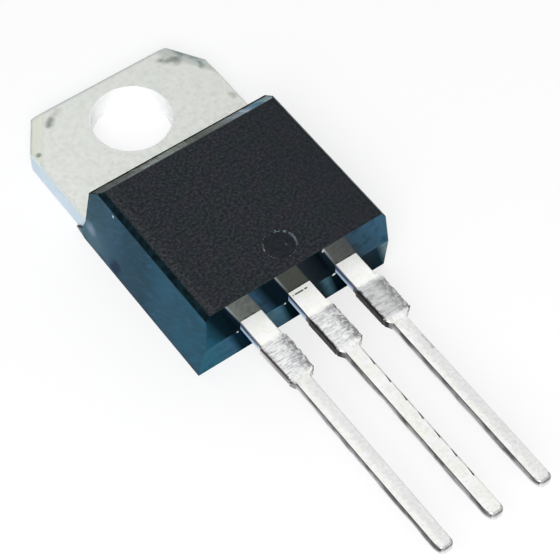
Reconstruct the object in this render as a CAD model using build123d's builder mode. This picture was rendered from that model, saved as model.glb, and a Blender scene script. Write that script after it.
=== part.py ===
"""Insulated triac in a three-lead moulded power package, lying on its back.

Millimetres. X runs across the package, with the first lead at -X. +Y points at the end of
the metal tab and the leads point at -Y. +Z is the way the front face looks. The origin is
on the axis of the mounting hole, at the back face of the heat spreader.
"""

import os

from build123d import *

# Heat spreader: the plate whose bare end is the mounting tab
tab_width = 9.86
tab_thickness = 1.28
tab_visible = 6.5  # from the tab's end to the moulding, on the front face
hole_radius = 1.9
hole_to_tab_end = 2.8
corner_cut_across = 1.15
corner_cut_along = 1.75
corner_coin_width = 0.6  # shallow coined bevel beside each corner cut
corner_coin_depth = 0.1
end_roll = 0.1  # edge rounded over by blanking
full_width_run_in = 0.6  # how far the tab's full width runs into the moulding
buried_side_wall = 0.8  # moulding beside the narrower buried part, at the back
lock_step_width = 0.3  # rebate on the buried back edges, gripped by the moulding
lock_step_height = 0.4

# Moulding
body_length = 9.4  # at the parting line
body_base_width = 10.2
body_top_width = 9.45  # across the draft's planes, before the long edges' bevels
body_height = 4.45
tab_end_slope = 0.26  # how far the tab-end face leans back up to its bevel
tab_end_bevel_height = 0.93
tab_end_bevel_length = 0.97
lead_end_lean_front = 0.2  # set-back of the front edge from the parting line
lead_end_lean_back = 0.38  # set-back of the back edge from the parting line
long_edge_bevel_width = 0.2
long_edge_bevel_height = 0.3
ear_reach = 0.85  # how far the moulding reaches along the tab's sides at the back
ear_tip_thickness = 0.08
ear_bend_reach = 0.25  # where the ear's slope turns up to the body
ear_bend_z = 0.55
ejector_mark_radius = 0.73
ejector_mark_depth = 0.06
ejector_mark_inset = 1.47  # from the lead end to the mark's centre

# Terminals, stamped from one lead frame
lead_pitch = 2.54
lead_thickness = 0.5
lead_length = 13.4  # from the moulding to the tip
root_width = 1.15
stub_width = 1.27  # where the sheared dam bar leaves the lead a little wider
stub_start = 1.45
stub_end = 3.45
stub_corner = 0.06
shoulder_run = 0.35
lead_width = 0.74
tip_taper = 0.4
tip_width = 0.46
lead_edge_break = 0.04
post_width = 2.1
post_length = 1.8
post_inset = 0.7  # moulding between a post and the lead end

# Insulator tile and its copper foils
tile_thickness = 0.635
tile_cover = 0.55  # moulding between the tile and the tab-end face
tile_to_posts = 0.8
tile_side_gap = 0.6  # bare spreader beside the tile
tile_end_gap = 0.3  # bare spreader past the tile's inner end
foil_thickness = 0.18
foil_margin = 0.4  # bare ceramic round the foils
paddle_margin = 0.1  # bare foil round the A2 paddle

# Die and joints
die_size = 3.8
die_thickness = 0.28
solder_thickness = 0.06
solder_margin = 0.1  # solder stops this far inside the smaller face that it joins

# Clips from the A1 and gate posts to the die
clip_thickness = 0.3
clip_span_rise = 0.25  # height of a clip's span above its contact on the die
clip_ramp = 0.5  # run of each slope, measured along Y
clip_foot_length = 1.2
clip_foot_inset = 0.2  # from the post's outer end
a1_foot_width = 1.4
a1_contact_width = 2.0
a1_contact_length = 2.3
a1_contact_shift = -0.45  # contact's centre from the die's centre, across
a1_contact_edge = 0.9  # from the die's lead-side edge
gate_foot_width = 0.8
gate_contact_width = 0.7
gate_contact_length = 0.7
gate_contact_shift = 1.4
gate_contact_edge = 0.15

# Places along Y
tab_end_y = hole_to_tab_end
body_start_y = tab_end_y - tab_visible
body_end_y = body_start_y - body_length
tip_y = body_end_y - lead_length
post_end_y = body_end_y + post_inset
post_start_y = post_end_y + post_length
tile_start_y = body_start_y - tile_cover
tile_end_y = post_start_y + tile_to_posts
spreader_end_y = tile_end_y - tile_end_gap
run_in_y = body_start_y - full_width_run_in
tile_centre_y = (tile_start_y + tile_end_y) / 2
die_edge_y = tile_centre_y - die_size / 2

# Sizes that follow from the ones above
buried_width = body_base_width - 2 * buried_side_wall
tile_width = buried_width - 2 * tile_side_gap
tile_length = tile_start_y - tile_end_y
foil_width = tile_width - 2 * foil_margin
foil_length = tile_length - 2 * foil_margin
paddle_width = foil_width - 2 * paddle_margin
paddle_length = foil_length - 2 * paddle_margin

# Levels of the stack, from the spreader's front face up
base_foil_z = tab_thickness + solder_thickness
tile_z = base_foil_z + foil_thickness
top_foil_z = tile_z + tile_thickness
lead_back_z = top_foil_z + foil_thickness + solder_thickness
lead_front_z = lead_back_z + lead_thickness
die_z = lead_front_z + solder_thickness
die_front_z = die_z + die_thickness
clip_foot_z = lead_front_z + solder_thickness
clip_contact_z = die_front_z + solder_thickness
clip_span_z = clip_contact_z + clip_span_rise
parting_z = lead_back_z
bevel_foot_z = body_height - tab_end_bevel_height


def mirrored_outline(right_side):
    """Close a profile given by its right-hand points, mirrored in the YZ plane."""
    left_side = [(-x, y) for x, y in reversed(right_side)]
    with BuildLine() as outline:
        Polyline(*right_side, *left_side, close=True)
    make_face(outline.edges())


def lead_outline(centre_x, inner_y):
    """Plan of one lead, from inner_y in the moulding out to its tip."""
    half_stub = stub_width / 2
    right_side = [
        (root_width / 2, inner_y),
        (root_width / 2, body_end_y - stub_start),
        (half_stub, body_end_y - stub_start - stub_corner),
        (half_stub, body_end_y - stub_end + stub_corner),
        (root_width / 2, body_end_y - stub_end),
        (lead_width / 2, body_end_y - stub_end - shoulder_run),
        (lead_width / 2, tip_y + tip_taper),
        (tip_width / 2, tip_y),
    ]
    left_side = [(-x, y) for x, y in reversed(right_side)]
    with BuildLine() as outline:
        Polyline(*[(centre_x + x, y) for x, y in right_side + left_side], close=True)
    make_face(outline.edges())


def break_lead_edges(lead):
    """Take the sharpness off the stamped edges of a lead outside the moulding."""
    outside = lead.edges().filter_by(lambda edge: edge.center().Y < body_end_y)
    chamfer(outside.filter_by(Axis.Z, reverse=True), length=lead_edge_break)


def slab(width, start_y, end_y, base_z, thickness, centre_x=0.0):
    """Flat rectangular layer of the stack, in the builder that is open."""
    with BuildSketch(Plane.XY.offset(base_z)) as layer:
        with Locations((centre_x, (start_y + end_y) / 2)):
            Rectangle(width, abs(start_y - end_y))
    extrude(layer.sketch, amount=thickness)


def bent_clip(foot_x, foot_width, contact_x, contact_width, contact_edge, contact_length):
    """Strip clip: its side view, with foot, span and contact, trimmed to its plan."""
    foot_start = post_end_y + clip_foot_inset
    foot_end = foot_start + clip_foot_length
    contact_start = die_edge_y + contact_edge
    contact_end = contact_start + contact_length
    under_side = [
        (foot_start, clip_foot_z),
        (foot_end, clip_foot_z),
        (foot_end + clip_ramp, clip_span_z),
        (contact_start - clip_ramp, clip_span_z),
        (contact_start, clip_contact_z),
        (contact_end, clip_contact_z),
    ]
    upper_side = [(y, z + clip_thickness) for y, z in reversed(under_side)]
    reach = body_base_width / 2
    with BuildSketch(Plane.YZ.offset(-reach)) as side_view:
        with BuildLine():
            Polyline(*under_side, *upper_side, close=True)
        make_face()
    extrude(side_view.sketch, amount=2 * reach)
    with BuildSketch(Plane.XY.offset(lead_front_z)) as plan:
        with BuildLine():
            Polyline(
                (foot_x - foot_width / 2, foot_start),
                (foot_x + foot_width / 2, foot_start),
                (foot_x + foot_width / 2, foot_end),
                (contact_x + contact_width / 2, contact_start),
                (contact_x + contact_width / 2, contact_end),
                (contact_x - contact_width / 2, contact_end),
                (contact_x - contact_width / 2, contact_start),
                (foot_x - foot_width / 2, foot_end),
                close=True,
            )
        make_face()
    extrude(plan.sketch, amount=body_height - lead_front_z, mode=Mode.INTERSECT)


# Heat spreader
with BuildPart() as heat_spreader:
    half_tab = tab_width / 2
    with BuildSketch():
        mirrored_outline(
            [
                (buried_width / 2, spreader_end_y),
                (buried_width / 2, run_in_y),
                (half_tab, run_in_y),
                (half_tab, tab_end_y - corner_cut_along),
                (half_tab - corner_cut_across, tab_end_y),
            ]
        )
        Circle(hole_radius, mode=Mode.SUBTRACT)
    extrude(amount=tab_thickness)
    front = heat_spreader.faces().sort_by(Axis.Z)[-1]
    end_edge = front.edges().sort_by(Axis.Y)[-1]
    chamfer(end_edge, length=end_roll)
    front = heat_spreader.faces().sort_by(Axis.Z)[-1]
    corner_edges = front.edges().filter_by(
        lambda edge: edge.geom_type == GeomType.LINE
        and abs(edge.tangent_at(0).X) > 0.1
        and abs(edge.tangent_at(0).Y) > 0.1
    )
    for corner_edge in corner_edges:
        chamfer(corner_edge, corner_coin_width, corner_coin_depth, reference=front)
    with BuildSketch():
        with Locations((0, (run_in_y + spreader_end_y) / 2)):
            Rectangle(buried_width, run_in_y - spreader_end_y)
        with Locations((0, (run_in_y + spreader_end_y + lock_step_width) / 2)):
            Rectangle(
                buried_width - 2 * lock_step_width,
                run_in_y - spreader_end_y - lock_step_width,
                mode=Mode.SUBTRACT,
            )
    extrude(amount=lock_step_height, mode=Mode.SUBTRACT)
heat_spreader.part.label = "heat_spreader"

# Terminals
with BuildPart() as terminal_a2:
    with BuildSketch(Plane.XY.offset(lead_back_z)):
        lead_outline(0.0, tile_centre_y)
        with Locations((0, tile_centre_y)):
            Rectangle(paddle_width, paddle_length)
    extrude(amount=lead_thickness)
    break_lead_edges(terminal_a2)
terminal_a2.part.label = "terminal_a2"

with BuildPart() as terminal_a1:
    with BuildSketch(Plane.XY.offset(lead_back_z)):
        lead_outline(-lead_pitch, post_end_y)
        with Locations((-lead_pitch, (post_start_y + post_end_y) / 2)):
            Rectangle(post_width, post_length)
    extrude(amount=lead_thickness)
    break_lead_edges(terminal_a1)
terminal_a1.part.label = "terminal_a1"

with BuildPart() as terminal_gate:
    with BuildSketch(Plane.XY.offset(lead_back_z)):
        lead_outline(lead_pitch, post_end_y)
        with Locations((lead_pitch, (post_start_y + post_end_y) / 2)):
            Rectangle(post_width, post_length)
    extrude(amount=lead_thickness)
    break_lead_edges(terminal_gate)
terminal_gate.part.label = "terminal_gate"

# Insulator, soldered between the spreader and the A2 paddle
with BuildPart() as spreader_solder:
    slab(
        foil_width - 2 * solder_margin,
        tile_start_y - foil_margin - solder_margin,
        tile_end_y + foil_margin + solder_margin,
        tab_thickness,
        solder_thickness,
    )
spreader_solder.part.label = "spreader_solder"

with BuildPart() as insulator_base_foil:
    slab(
        foil_width,
        tile_start_y - foil_margin,
        tile_end_y + foil_margin,
        base_foil_z,
        foil_thickness,
    )
insulator_base_foil.part.label = "insulator_base_foil"

with BuildPart() as insulator_tile:
    slab(tile_width, tile_start_y, tile_end_y, tile_z, tile_thickness)
insulator_tile.part.label = "insulator_tile"

with BuildPart() as insulator_top_foil:
    slab(
        foil_width,
        tile_start_y - foil_margin,
        tile_end_y + foil_margin,
        top_foil_z,
        foil_thickness,
    )
insulator_top_foil.part.label = "insulator_top_foil"

with BuildPart() as paddle_solder:
    paddle_inset = foil_margin + paddle_margin + solder_margin
    slab(
        paddle_width - 2 * solder_margin,
        tile_start_y - paddle_inset,
        tile_end_y + paddle_inset,
        top_foil_z + foil_thickness,
        solder_thickness,
    )
paddle_solder.part.label = "paddle_solder"

# Die, soldered on the A2 paddle
with BuildPart() as die_solder:
    slab(
        die_size - 2 * solder_margin,
        die_edge_y + solder_margin,
        die_edge_y + die_size - solder_margin,
        lead_front_z,
        solder_thickness,
    )
die_solder.part.label = "die_solder"

with BuildPart() as triac_die:
    slab(die_size, die_edge_y, die_edge_y + die_size, die_z, die_thickness)
triac_die.part.label = "triac_die"

# Clips, each soldered to its post and to the die
with BuildPart() as a1_clip:
    bent_clip(
        -lead_pitch,
        a1_foot_width,
        a1_contact_shift,
        a1_contact_width,
        a1_contact_edge,
        a1_contact_length,
    )
a1_clip.part.label = "a1_clip"

with BuildPart() as gate_clip:
    bent_clip(
        lead_pitch,
        gate_foot_width,
        gate_contact_shift,
        gate_contact_width,
        gate_contact_edge,
        gate_contact_length,
    )
gate_clip.part.label = "gate_clip"

foot_solder_y = post_end_y + clip_foot_inset + solder_margin
foot_solder_end_y = foot_solder_y + clip_foot_length - 2 * solder_margin

with BuildPart() as a1_post_solder:
    slab(
        a1_foot_width - 2 * solder_margin,
        foot_solder_y,
        foot_solder_end_y,
        lead_front_z,
        solder_thickness,
        -lead_pitch,
    )
a1_post_solder.part.label = "a1_post_solder"

with BuildPart() as gate_post_solder:
    slab(
        gate_foot_width - 2 * solder_margin,
        foot_solder_y,
        foot_solder_end_y,
        lead_front_z,
        solder_thickness,
        lead_pitch,
    )
gate_post_solder.part.label = "gate_post_solder"

with BuildPart() as a1_die_joint:
    slab(
        a1_contact_width - 2 * solder_margin,
        die_edge_y + a1_contact_edge + solder_margin,
        die_edge_y + a1_contact_edge + a1_contact_length - solder_margin,
        die_front_z,
        solder_thickness,
        a1_contact_shift,
    )
a1_die_joint.part.label = "a1_die_joint"

with BuildPart() as gate_die_joint:
    slab(
        gate_contact_width - 2 * solder_margin,
        die_edge_y + gate_contact_edge + solder_margin,
        die_edge_y + gate_contact_edge + gate_contact_length - solder_margin,
        die_front_z,
        solder_thickness,
        gate_contact_shift,
    )
gate_die_joint.part.label = "gate_die_joint"

buried_pieces = [
    heat_spreader,
    terminal_a1,
    terminal_a2,
    terminal_gate,
    spreader_solder,
    insulator_base_foil,
    insulator_tile,
    insulator_top_foil,
    paddle_solder,
    die_solder,
    triac_die,
    a1_clip,
    gate_clip,
    a1_post_solder,
    gate_post_solder,
    a1_die_joint,
    gate_die_joint,
]

# Moulding: its side view trimmed to its end view and plan, then filled round every buried piece
with BuildPart() as moulding:
    reach = body_base_width / 2
    with BuildSketch(Plane.YZ.offset(-reach)):
        with BuildLine():
            Polyline(
                (body_start_y + ear_reach, 0),
                (body_start_y + ear_bend_reach, ear_bend_z),
                (body_start_y, tab_thickness),
                (body_start_y - tab_end_slope, bevel_foot_z),
                (body_start_y - tab_end_slope - tab_end_bevel_length, body_height),
                (body_end_y + lead_end_lean_front, body_height),
                (body_end_y, parting_z),
                (body_end_y + lead_end_lean_back, 0),
                close=True,
            )
        make_face()
    extrude(amount=2 * reach)
    side_lean = (body_base_width - body_top_width) / 2 / body_height
    bevel_foot_x = body_top_width / 2 + side_lean * long_edge_bevel_height
    with BuildSketch(Plane.XZ.offset(-tab_end_y)):
        mirrored_outline(
            [
                (body_base_width / 2, 0),
                (bevel_foot_x, body_height - long_edge_bevel_height),
                (body_top_width / 2 - long_edge_bevel_width, body_height),
            ]
        )
    extrude(amount=tab_end_y - tip_y, mode=Mode.INTERSECT)
    with BuildSketch():
        mirrored_outline(
            [
                (body_base_width / 2, body_end_y),
                (body_base_width / 2, body_start_y),
                (tab_width / 2 + ear_tip_thickness, body_start_y + ear_reach),
            ]
        )
    extrude(amount=body_height, mode=Mode.INTERSECT)
    with BuildSketch(Plane.XY.offset(body_height)):
        with Locations((0, body_end_y + ejector_mark_inset)):
            Circle(ejector_mark_radius)
    extrude(amount=-ejector_mark_depth, mode=Mode.SUBTRACT)
    for piece in buried_pieces:
        add(piece.part, mode=Mode.SUBTRACT)
moulding.part.label = "moulding"

os.makedirs("parts", exist_ok=True)
for piece in buried_pieces + [moulding]:
    export_step(piece.part, f"parts/{piece.part.label}.step")
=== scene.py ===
"""Looks of the insulated triac: dressed moulding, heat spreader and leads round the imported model.

Lengths below are in millimetres unless a comment says otherwise. The Blender objects
themselves are in metres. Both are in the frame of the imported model.
"""

import math

import bmesh
import bpy
from mathutils import Matrix, Vector, noise
from mathutils.bvhtree import BVHTree


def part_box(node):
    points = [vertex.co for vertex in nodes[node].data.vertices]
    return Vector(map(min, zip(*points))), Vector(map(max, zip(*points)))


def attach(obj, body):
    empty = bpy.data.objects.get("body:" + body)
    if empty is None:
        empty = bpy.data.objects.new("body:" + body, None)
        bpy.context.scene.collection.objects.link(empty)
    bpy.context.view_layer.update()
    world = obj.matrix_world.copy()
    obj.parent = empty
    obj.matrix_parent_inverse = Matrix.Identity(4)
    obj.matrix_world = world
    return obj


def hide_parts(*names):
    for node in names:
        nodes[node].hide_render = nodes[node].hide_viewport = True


MM = 0.001

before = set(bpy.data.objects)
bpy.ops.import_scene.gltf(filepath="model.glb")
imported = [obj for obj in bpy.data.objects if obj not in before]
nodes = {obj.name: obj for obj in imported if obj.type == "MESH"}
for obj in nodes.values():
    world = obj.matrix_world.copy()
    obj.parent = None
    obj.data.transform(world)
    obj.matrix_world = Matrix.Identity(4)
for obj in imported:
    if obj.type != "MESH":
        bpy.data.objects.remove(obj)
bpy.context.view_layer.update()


def box_mm(node):
    """Lowest and highest corner of a CAD node, in millimetres."""
    low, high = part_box(node)
    return low / MM, high / MM


# ---------------------------------------------------------------- places from the model
body_low, body_high = box_mm("moulding")
tab_low, tab_high = box_mm("heat_spreader")
lead_low, lead_high = box_mm("terminal_a2")
SIDE_X = body_low.x + 0.1  # just inside the -X side
LEAD_END_Y = body_low.y  # parting line of the lead end
FRONT_Z = body_high.z
TAB_Z = tab_high.z
BEVEL_FOOT_Z = FRONT_Z - 0.93
BEVEL_SHINE_Z = BEVEL_FOOT_Z + 0.2  # where the tab-end bevel turns from black to shiny
EJECTOR_Y = LEAD_END_Y + 1.47
EJECTOR_RADIUS = 0.73
CORNER_CUT_X, CORNER_CUT_Y = 1.15, 1.75
CORNER_COIN = 0.6  # width of the coined strip along a corner cut

LEAD_PITCH = 2.54
LEAD_CENTRES = {"terminal_a1": -LEAD_PITCH, "terminal_a2": 0.0, "terminal_gate": LEAD_PITCH}
LEAD_BACK_Z, LEAD_FRONT_Z = lead_low.z, lead_high.z
TIP_Y = lead_low.y
TIP_LENGTH = 0.55  # how far the rounding of a tip reaches back
TIP_ROUND_LEFT, TIP_ROUND_RIGHT = 0.33, 0.17  # on the -X side and on the +X side
# The burr marks are painted shadows of the middle lead's burr.
BURR_PITCH, BURR_PHASE = 1.09, 0.83  # spacing of the burr marks and where they start
HALF_ROOT, HALF_STUB, HALF_LEAD, HALF_TIP = 0.575, 0.635, 0.37, 0.23
STUB_START_Y, STUB_END_Y = LEAD_END_Y - 1.45, LEAD_END_Y - 3.45
SHOULDER_END_Y = STUB_END_Y - 0.35


# ---------------------------------------------------------------- material graphs
def tone(red, green, blue):
    """Linear RGBA of a colour given as 0-255 display values."""

    def linear(value):
        v = value / 255
        return v / 12.92 if v <= 0.04045 else ((v + 0.055) / 1.055) ** 2.4

    return (linear(red), linear(green), linear(blue), 1.0)


def level(value):
    """Grey whose RGBA carries a plain number through a ramp."""
    return (value, value, value, 1.0)


class Graph:
    """One material: a Principled shader and short calls that add nodes in front of it.

    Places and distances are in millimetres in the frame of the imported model. A share is a
    value from 0 to 1 that says how much of something shows.
    """

    def __init__(self, name, roughness=0.5, metallic=0.0, specular=0.5):
        self.material = bpy.data.materials.new(name)
        self.material.use_nodes = True
        self.tree = self.material.node_tree
        self.tree.nodes.clear()
        self.shader = self.node("ShaderNodeBsdfPrincipled")
        self.output = self.node("ShaderNodeOutputMaterial")
        self.put(self.output.inputs["Surface"], self.shader.outputs["BSDF"])
        self.shader.inputs["Roughness"].default_value = roughness
        self.shader.inputs["Metallic"].default_value = metallic
        self.shader.inputs["Specular IOR Level"].default_value = specular
        self.shader.inputs["IOR"].default_value = 1.5
        metres = self.node("ShaderNodeTexCoord").outputs["Object"]
        scaled = self.node("ShaderNodeVectorMath", {0: metres, "Scale": 1 / MM}, operation="SCALE")
        self.place = scaled.outputs[0]
        self.x, self.y, self.z = self.node("ShaderNodeSeparateXYZ", {0: self.place}).outputs
        normal = self.node("ShaderNodeNewGeometry").outputs["True Normal"]
        self.facing = self.node("ShaderNodeSeparateXYZ", {0: normal}).outputs

    def node(self, kind, inputs=None, **settings):
        """New node with its settings made and its inputs filled, by index or name."""
        node = self.tree.nodes.new(kind)
        for name, value in settings.items():
            setattr(node, name, value)
        for key, value in (inputs or {}).items():
            self.put(node.inputs[key], value)
        return node

    def put(self, socket, value):
        """Link an output to the socket, or set the socket to a constant."""
        if isinstance(value, bpy.types.NodeSocket):
            self.tree.links.new(value, socket)
        else:
            socket.default_value = value

    def math(self, operation, a, b=0.0, c=0.0):
        """Output of one math node."""
        return self.node("ShaderNodeMath", {0: a, 1: b, 2: c}, operation=operation).outputs[0]

    def plus(self, a, b):
        """a + b"""
        return self.math("ADD", a, b)

    def minus(self, a, b):
        """a - b"""
        return self.math("SUBTRACT", a, b)

    def scale_add(self, value, factor, rest):
        """value * factor + rest"""
        return self.math("MULTIPLY_ADD", value, factor, rest)

    def absolute(self, value):
        """value without its sign"""
        return self.math("ABSOLUTE", value)

    def times(self, *values):
        """Product of several values."""
        total = values[0]
        for value in values[1:]:
            total = self.math("MULTIPLY", total, value)
        return total

    def most(self, *values):
        """Largest of several values."""
        total = values[0]
        for value in values[1:]:
            total = self.math("MAXIMUM", total, value)
        return total

    def span(self, value, low, high, to_low=0.0, to_high=1.0, smooth=True):
        """value mapped from low..high to to_low..to_high, held at the ends."""
        node = self.node(
            "ShaderNodeMapRange",
            {0: value, 1: low, 2: high, 3: to_low, 4: to_high},
            interpolation_type="SMOOTHSTEP" if smooth else "LINEAR",
        )
        return node.outputs[0]

    def mix(self, share, a, b):
        """Colour a where share is 0, b where it is 1."""
        return self.node("ShaderNodeMix", {0: share, 6: a, 7: b}, data_type="RGBA").outputs[2]

    def ramp(self, value, *stops):
        """Colour along a value: stops are (value, colour) from the lowest up."""
        low, high = stops[0][0], stops[-1][0]
        node = self.node("ShaderNodeValToRGB", {0: self.span(value, low, high, smooth=False)})
        elements = node.color_ramp.elements
        elements[0].color = stops[0][1]
        elements[1].color = stops[-1][1]
        for place, colour in stops[1:-1]:
            elements.new((place - low) / (high - low)).color = colour
        return node.outputs[0]

    def stretch(self, x, y, z):
        """The place, scaled along each axis."""
        factors = {0: self.place, 1: (x, y, z)}
        return self.node("ShaderNodeVectorMath", factors, operation="MULTIPLY").outputs[0]

    def leaning(self, lean, across, along):
        """Noise position on the sides, stretched along lines that rise towards the leads."""
        leant = self.times(self.scale_add(self.z, lean, self.y), across)
        risen = self.times(self.z, along)
        return self.node("ShaderNodeCombineXYZ", {0: self.x, 1: leant, 2: risen}).outputs[0]

    def noise(self, scale, detail=2.0, roughness=0.5, place=None):
        """Cloudy noise from 0 to 1 with scale lumps to the millimetre."""
        inputs = {"Vector": place or self.place, "Scale": scale, "Detail": detail, "Roughness": roughness}
        return self.node("ShaderNodeTexNoise", inputs).outputs[0]

    def away(self, x, y, z=None):
        """Distance to a point, or to the upright line through (x, y) when z is left out."""
        flat = self.stretch(1.0, 1.0, 0.0 if z is None else 1.0)
        ends = {0: flat, 1: (x, y, z or 0.0)}
        return self.node("ShaderNodeVectorMath", ends, operation="DISTANCE").outputs["Value"]

    def near(self, x, y, radius, soft=0.5, z=None):
        """1 close to the point or line, fading to 0 at radius."""
        return self.span(self.away(x, y, z), radius * (1 - soft), radius, 1.0, 0.0)

    def streak(self, start, end, radius):
        """1 along the line between two (x, y) points, fading patchily to 0 at radius."""
        length = math.dist(start, end)
        step_x, step_y = (end[0] - start[0]) / length, (end[1] - start[1]) / length
        from_x, from_y = self.minus(self.x, start[0]), self.minus(self.y, start[1])
        along = self.scale_add(from_x, step_x, self.times(from_y, step_y))
        held = self.math("MINIMUM", self.math("MAXIMUM", along, 0.0), length)
        off_x = self.minus(self.x, self.scale_add(held, step_x, start[0]))
        off_y = self.minus(self.y, self.scale_add(held, step_y, start[1]))
        distance = self.math("SQRT", self.scale_add(off_x, off_x, self.times(off_y, off_y)))
        ragged = self.scale_add(self.noise(2.2, 1.0), radius * 1.6, -radius * 0.8)
        patchy = self.span(self.noise(2.6, 2.0), 0.34, 0.6, 0.5, 1.0)
        return self.times(self.span(self.plus(distance, ragged), 0.0, radius, 1.0, 0.0), patchy)

    def sheared_x(self, lean, level_z):
        """x shifted in proportion to the height over level_z."""
        return self.scale_add(self.minus(self.z, level_z), lean, self.x)

    def lead_offset(self, x=None):
        """Distance from the middle of the nearest lead, across the row of leads."""
        turn = self.math("FRACT", self.scale_add(x or self.x, 1 / LEAD_PITCH, 0.5))
        return self.times(self.minus(turn, 0.5), LEAD_PITCH)

    def bump(self, *layers):
        """Stack of (height, depth in millimetres) bumps, put on the shader's normal."""
        normal = None
        for height, depth in layers:
            node = self.node("ShaderNodeBump", {"Strength": 1.0, "Distance": depth * MM, "Height": height})
            if normal:
                self.put(node.inputs["Normal"], normal)
            normal = node.outputs[0]
        self.put(self.shader.inputs["Normal"], normal)

    def colour(self, value):
        """Set the shader's base colour."""
        self.put(self.shader.inputs["Base Color"], value)

    def rough(self, value):
        """Set the shader's roughness."""
        self.put(self.shader.inputs["Roughness"], value)

    def metal(self, value):
        """Set how metallic the shader is."""
        self.put(self.shader.inputs["Metallic"], value)


# ---------------------------------------------------------------- moulding materials
def ejector_mark(g, base):
    """Round recess of the ejector pin: a darker floor, a rim with painted glints in places, brightest on
    its +Y side, and a speck.
    """
    from_centre = g.away(0.0, EJECTOR_Y)
    floor = g.span(from_centre, EJECTOR_RADIUS, EJECTOR_RADIUS - 0.1)
    base = g.mix(g.times(floor, 0.55), base, tone(14, 18, 28))
    rim = g.span(g.absolute(g.minus(from_centre, EJECTOR_RADIUS)), 0.01, 0.045, 1.0, 0.0)
    # Painted highlight: glints along the rim, mostly on its +Y side.
    glint_dots = g.span(g.noise(9.0, 2.0), 0.48, 0.62)
    glint_arc = g.times(g.near(0.72, EJECTOR_Y - 0.15, 0.5, 0.6), 0.6)
    upper = g.span(g.y, EJECTOR_Y - 0.4, EJECTOR_Y, 0.4, 1.0)
    base = g.mix(g.times(rim, g.most(glint_dots, glint_arc), upper), base, tone(150, 156, 158))
    base = g.mix(g.near(0.25, EJECTOR_Y - 0.12, 0.06), base, tone(72, 78, 86))
    gaps = g.span(g.noise(1.7, 2.0), 0.46, 0.38)
    return g.mix(g.times(rim, gaps, 0.8), base, tone(16, 20, 20))


def epoxy_front():
    """Spark-eroded matte front face of the moulding."""
    g = Graph("epoxy_front", specular=0.18)
    hue = g.noise(0.9, 2.0)
    grain = g.noise(7.2, 2.0, 0.6)
    fine = g.noise(16.0, 2.0)
    light_grain = g.mix(g.span(g.x, -2.0, 4.0), tone(50, 55, 60), tone(42, 47, 54))
    base = g.mix(g.span(hue, 0.42, 0.58), tone(22, 30, 32), tone(28, 28, 35))
    base = g.mix(g.times(g.span(grain, 0.46, 0.7), 0.8), base, light_grain)
    base = g.mix(g.times(g.span(grain, 0.5, 0.34), 0.75), base, tone(10, 12, 14))
    base = g.mix(g.times(g.span(g.x, 1.5, 4.0), 0.3), base, tone(20, 25, 29))
    base = g.mix(g.times(g.span(fine, 0.5, 0.64), 0.4), base, tone(60, 65, 73))
    # Painted highlight: a lighter band just inside the -X long edge of the front face.
    edge_highlight = g.times(g.span(g.x, -4.05, -4.35), g.span(grain, 0.36, 0.6))
    base = g.mix(g.times(edge_highlight, 0.4), base, tone(64, 67, 70))
    g.colour(ejector_mark(g, base))
    g.rough(g.span(fine, 0.3, 0.7, 0.5, 0.72))
    g.bump((grain, 0.02), (fine, 0.006))
    return g.material


def epoxy_side():
    """Polished draft sides, coloured with a painted reflection: the dark teal that they would mirror,
    lighter and darker by turns, with painted highlights and painted dark reflections.
    """
    g = Graph("epoxy_side", specular=0.02)
    broad = g.noise(0.42, 3.0, 0.55)
    patch = g.noise(1.3, 4.0, 0.6)
    # Painted reflection: the teal along the side, then its lighter and darker streaks.
    base = g.ramp(
        g.y,
        (-13.1, tone(8, 76, 100)),
        (-11.4, tone(14, 80, 102)),
        (-10.0, tone(24, 82, 108)),
        (-8.4, tone(4, 58, 78)),
        (-7.0, tone(10, 60, 82)),
        (-5.5, tone(44, 80, 102)),
        (-4.0, tone(44, 80, 96)),
    )
    base = g.mix(g.times(g.span(broad, 0.38, 0.62), 0.5), base, tone(24, 62, 78))
    leaning = g.noise(1.0, 4.0, 0.6, place=g.leaning(1.0, 2.8, 1.6))
    base = g.mix(g.times(g.span(leaning, 0.5, 0.7), 0.4), base, tone(40, 90, 124))
    base = g.mix(g.times(g.span(leaning, 0.5, 0.34), 0.35), base, tone(6, 62, 72))
    # Painted reflection: paler towards the tab end and up high.
    pale = g.times(g.span(g.y, -6.0, -4.4), g.span(g.z, 2.2, 0.6))
    base = g.mix(g.times(pale, 0.8), base, tone(72, 104, 120))
    # Painted highlight: a lilac patch near the tab end.
    lilac = g.times(g.near(SIDE_X, -4.15, 0.6, 0.9, z=1.25), g.span(patch, 0.3, 0.6, 0.5, 1.0))
    base = g.mix(g.times(lilac, 0.8), base, tone(126, 146, 168))
    # Painted highlights: two white glints at the top of the side.
    side_glints = g.most(g.near(-4.78, -5.9, 0.1, 0.6, z=3.88), g.near(-4.76, -4.2, 0.08, 0.6, z=3.9))
    base = g.mix(side_glints, base, tone(190, 214, 216))
    # Painted dark reflection: darker blotches along the bottom of the side.
    low = g.times(g.span(g.z, 0.55, 0.1), g.span(patch, 0.42, 0.6))
    base = g.mix(g.times(low, 0.6), base, tone(30, 52, 66))
    # Painted dark reflection: two dark blue spots low down near the tab end.
    dark_reflection_spots = g.most(g.near(SIDE_X, -6.1, 0.46, 0.6, z=0.4), g.near(SIDE_X, -6.3, 0.46, 0.6, z=0.75))
    base = g.mix(dark_reflection_spots, base, tone(0, 38, 68))
    g.colour(base)
    g.rough(g.span(patch, 0.3, 0.7, 0.13, 0.24))
    g.bump((g.noise(0.8, 2.0), 0.02), (g.noise(14.0, 2.0), 0.0012))
    return g.material


def epoxy_band():
    """Dark bevel along the front face's long edges, its dark teal a painted dark reflection."""
    g = Graph("epoxy_band", specular=0.03)
    patch = g.noise(2.6, 3.0)
    g.colour(g.mix(g.span(patch, 0.35, 0.65), tone(6, 20, 24), tone(14, 34, 42)))
    g.rough(g.span(patch, 0.3, 0.7, 0.3, 0.45))
    g.bump((g.noise(14.0, 2.0), 0.002))
    return g.material


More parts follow.
